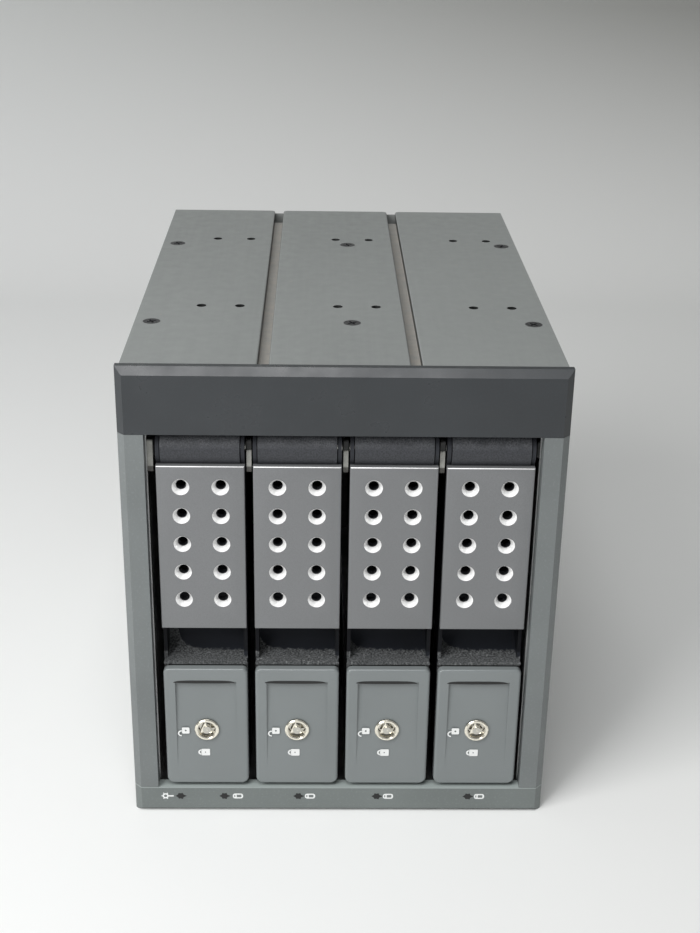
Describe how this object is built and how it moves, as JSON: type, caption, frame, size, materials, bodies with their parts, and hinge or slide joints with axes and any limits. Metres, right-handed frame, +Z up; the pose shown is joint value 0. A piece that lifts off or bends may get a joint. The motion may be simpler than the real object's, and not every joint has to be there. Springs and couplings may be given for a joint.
{
  "type": "hot swap drive cage",
  "caption": "Hot swap drive cage with a painted steel shell, moulded front frame, upright sliding trays with vented face plates, flip-up levers, push buttons and key locks, and a rear fan.",
  "frame": {"origin": "centre of the base, on the surface that the cage stands on", "axes": "+Z up as in the picture (the installed left), front of the cage towards -Y, +X to the picture's right (the installed bottom)"},
  "size_m": [0.127, 0.21, 0.147],
  "materials": {
    "shell_paint": "satin grey paint on folded steel",
    "black_screw": "black oxide countersunk screws",
    "bezel_block": "fine-textured charcoal moulding",
    "bezel_bar": "fine-textured grey moulding",
    "clear_pipe": "clear moulded light pipes, unlit",
    "circuit_board": "green solder mask",
    "zinc_sheet": "galvanised sheet with faint rolling lines",
    "bright_steel": "bright plated steel",
    "rail_plastic": "dark nylon",
    "tray_steel": "galvanised sheet with faint rolling lines",
    "tray_plastic": "black moulding, satin inside the scoop",
    "lever_plastic": "black moulding with a fine spark texture",
    "anodised_plate": "grey anodised, fine bead-blasted grain",
    "button_plastic": "semi-gloss grey moulding",
    "nickel_lock": "nickel-plated die casting",
    "socket_plastic": "black moulding",
    "header_plastic": "natural white moulding",
    "brass": "turned brass",
    "fan_plastic": "black moulding with a low sheen",
    "steel_screw": "zinc-plated screws"
  },
  "bodies": {
    "cage": {"top_panel": "shell_paint", "bottom_panel": "shell_paint", "top_panel_screws": "black_screw", "bottom_panel_screws": "black_screw", "left_cover": "shell_paint", "right_cover": "shell_paint", "rear_panel": "shell_paint", "bezel_upper_block": "bezel_block", "bezel_left_stile": "bezel_bar", "bezel_right_stile": "bezel_bar", "led_strip": "bezel_bar", "light_pipes": "clear_pipe", "indicator_board": "circuit_board", "upper_guide_plate": "zinc_sheet", "lower_guide_plate": "zinc_sheet", "upper_guide_rails": "rail_plastic", "lower_guide_rails": "rail_plastic", "left_inner_side": "zinc_sheet", "right_inner_side": "zinc_sheet", "upper_stiffener": "zinc_sheet", "lower_stiffener": "zinc_sheet", "strike_comb": "bright_steel", "backplane_board": "circuit_board", "drive_receptacles": "socket_plastic", "data_sockets": "socket_plastic", "power_headers": "header_plastic", "backplane_standoffs": "brass", "fan_frame": "fan_plastic", "finger_guard": "bright_steel", "fan_screws": "steel_screw"},
    "tray_1": {"tray_1_frame": "tray_steel", "tray_1_front": "tray_plastic", "tray_1_hinge_pin": "bright_steel"},
    "lever_1": {"tray_1_lever": "lever_plastic", "tray_1_face_plate": "anodised_plate"},
    "button_1": {"tray_1_button": "button_plastic"},
    "lock_1": {"tray_1_lock": "nickel_lock"},
    "tray_2": {"tray_2_frame": "tray_steel", "tray_2_front": "tray_plastic", "tray_2_hinge_pin": "bright_steel"},
    "lever_2": {"tray_2_lever": "lever_plastic", "tray_2_face_plate": "anodised_plate"},
    "button_2": {"tray_2_button": "button_plastic"},
    "lock_2": {"tray_2_lock": "nickel_lock"},
    "tray_3": {"tray_3_frame": "tray_steel", "tray_3_front": "tray_plastic", "tray_3_hinge_pin": "bright_steel"},
    "lever_3": {"tray_3_lever": "lever_plastic", "tray_3_face_plate": "anodised_plate"},
    "button_3": {"tray_3_button": "button_plastic"},
    "lock_3": {"tray_3_lock": "nickel_lock"},
    "tray_4": {"tray_4_frame": "tray_steel", "tray_4_front": "tray_plastic", "tray_4_hinge_pin": "bright_steel"},
    "lever_4": {"tray_4_lever": "lever_plastic", "tray_4_face_plate": "anodised_plate"},
    "button_4": {"tray_4_button": "button_plastic"},
    "lock_4": {"tray_4_lock": "nickel_lock"},
    "rotor": {"fan_rotor": "fan_plastic"}
  },
  "joints": [
    {"name": "tray_1_slide", "type": "slide", "parent": "cage", "child": "tray_1", "axis": [0, -1, 0], "range_m": [0, 0.15]},
    {"name": "lever_1_swing", "type": "hinge", "parent": "tray_1", "child": "lever_1", "pos_m": [-0.04065, -0.09755, 0.1214], "axis": [-1, 0, 0], "range_deg": [0, 65]},
    {"name": "button_1_press", "type": "slide", "parent": "tray_1", "child": "button_1", "axis": [0, 1, 0], "range_m": [0, 0.002], "stiffness_N_per_m": 400},
    {"name": "lock_1_turn", "type": "hinge", "parent": "button_1", "child": "lock_1", "pos_m": [-0.04065, -0.10045, 0.0298], "axis": [0, 1, 0], "range_deg": [0, 90]},
    {"name": "tray_2_slide", "type": "slide", "parent": "cage", "child": "tray_2", "axis": [0, -1, 0], "range_m": [0, 0.15]},
    {"name": "lever_2_swing", "type": "hinge", "parent": "tray_2", "child": "lever_2", "pos_m": [-0.01315, -0.09755, 0.1214], "axis": [-1, 0, 0], "range_deg": [0, 65]},
    {"name": "button_2_press", "type": "slide", "parent": "tray_2", "child": "button_2", "axis": [0, 1, 0], "range_m": [0, 0.002], "stiffness_N_per_m": 400},
    {"name": "lock_2_turn", "type": "hinge", "parent": "button_2", "child": "lock_2", "pos_m": [-0.01315, -0.10045, 0.0298], "axis": [0, 1, 0], "range_deg": [0, 90]},
    {"name": "tray_3_slide", "type": "slide", "parent": "cage", "child": "tray_3", "axis": [0, -1, 0], "range_m": [0, 0.15]},
    {"name": "lever_3_swing", "type": "hinge", "parent": "tray_3", "child": "lever_3", "pos_m": [0.01435, -0.09755, 0.1214], "axis": [-1, 0, 0], "range_deg": [0, 65]},
    {"name": "button_3_press", "type": "slide", "parent": "tray_3", "child": "button_3", "axis": [0, 1, 0], "range_m": [0, 0.002], "stiffness_N_per_m": 400},
    {"name": "lock_3_turn", "type": "hinge", "parent": "button_3", "child": "lock_3", "pos_m": [0.01435, -0.10045, 0.0298], "axis": [0, 1, 0], "range_deg": [0, 90]},
    {"name": "tray_4_slide", "type": "slide", "parent": "cage", "child": "tray_4", "axis": [0, -1, 0], "range_m": [0, 0.15]},
    {"name": "lever_4_swing", "type": "hinge", "parent": "tray_4", "child": "lever_4", "pos_m": [0.04185, -0.09755, 0.1214], "axis": [-1, 0, 0], "range_deg": [0, 65]},
    {"name": "button_4_press", "type": "slide", "parent": "tray_4", "child": "button_4", "axis": [0, 1, 0], "range_m": [0, 0.002], "stiffness_N_per_m": 400},
    {"name": "lock_4_turn", "type": "hinge", "parent": "button_4", "child": "lock_4", "pos_m": [0.04185, -0.10045, 0.0298], "axis": [0, 1, 0], "range_deg": [0, 90]},
    {"name": "fan_spin", "type": "hinge", "parent": "cage", "child": "rotor", "pos_m": [0.0006, 0.08505, 0.06815], "axis": [0, 1, 0], "continuous": true}
  ]
}
